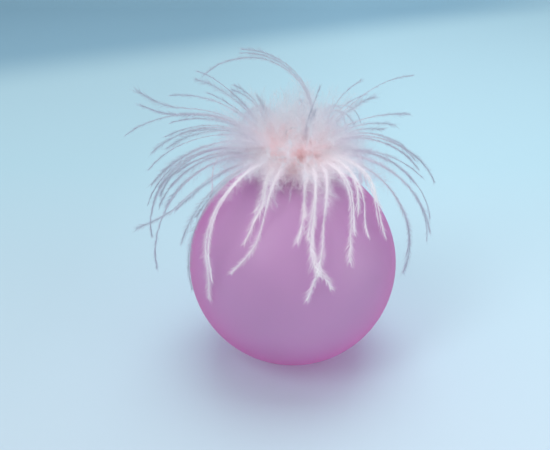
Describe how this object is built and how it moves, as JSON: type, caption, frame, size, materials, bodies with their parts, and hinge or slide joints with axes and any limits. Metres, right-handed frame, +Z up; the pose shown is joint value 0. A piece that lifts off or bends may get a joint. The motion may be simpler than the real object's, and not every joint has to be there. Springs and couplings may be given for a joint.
{
  "type": "feather-topped glass ball ornament",
  "caption": "Frosted glass ball ornament with a lift-off metal cap, a spring-wire hanger and a topper of long drooping feather fringe.",
  "frame": {"origin": "centre of the small flat that the ball stands on, on the axis of the neck", "axes": "+Z up along the neck, -Y towards the ornament's front, +X to its right"},
  "size_m": [0.1385, 0.1087, 0.1512],
  "materials": {
    "glass": "satin frosted, dyed pink-mauve",
    "cap_metal": "thin pressed sheet, rose tinted, satin",
    "wire_metal": "bright drawn spring wire",
    "glue": "set hot glue, clear to milky",
    "tape": "woven cotton, dyed salmon",
    "thread": "twisted sewing thread",
    "feather": "long soft ostrich flues, pale pink, matt",
    "down": "short down at the root of the fringe, salmon pink"
  },
  "bodies": {
    "ball": {"glass_ball": "glass"},
    "hanger": {"hanger_wire": "wire_metal"},
    "cap": {"ornament_cap": "cap_metal", "glue_bead": "glue", "header_tape": "tape", "binding_thread": "thread", "long_feather_01": "feather", "long_feather_02": "feather", "long_feather_03": "feather", "long_feather_04": "feather", "long_feather_05": "feather", "long_feather_06": "feather", "long_feather_07": "feather", "long_feather_08": "feather", "long_feather_09": "feather", "long_feather_10": "feather", "long_feather_11": "feather", "long_feather_12": "feather", "long_feather_13": "feather", "long_feather_14": "feather", "long_feather_15": "feather", "long_feather_16": "feather", "long_feather_17": "feather", "long_feather_18": "feather", "long_feather_19": "feather", "long_feather_20": "feather", "long_feather_21": "feather", "long_feather_22": "feather", "long_feather_23": "feather", "long_feather_24": "feather", "long_feather_25": "feather", "long_feather_26": "feather", "long_feather_27": "feather", "long_feather_28": "feather", "long_feather_29": "feather", "long_feather_30": "feather", "long_feather_31": "feather", "long_feather_32": "feather", "long_feather_33": "feather", "long_feather_34": "feather", "long_feather_35": "feather", "long_feather_36": "feather", "long_feather_37": "feather", "long_feather_38": "feather", "long_feather_39": "feather", "long_feather_40": "feather", "down_tuft_01": "down", "down_tuft_02": "down", "down_tuft_03": "down", "down_tuft_04": "down", "down_tuft_05": "down", "down_tuft_06": "down", "down_tuft_07": "down", "down_tuft_08": "down", "down_tuft_09": "down", "down_tuft_10": "down"}
  },
  "joints": [
    {"name": "cap_lift", "type": "slide", "parent": "ball", "child": "hanger", "axis": [0, 0, 1], "range_m": [0, 0.026]},
    {"name": "cap_turn", "type": "hinge", "parent": "hanger", "child": "cap", "pos_m": [0, 0, 0.104], "axis": [0, 0, 1], "continuous": true}
  ]
}
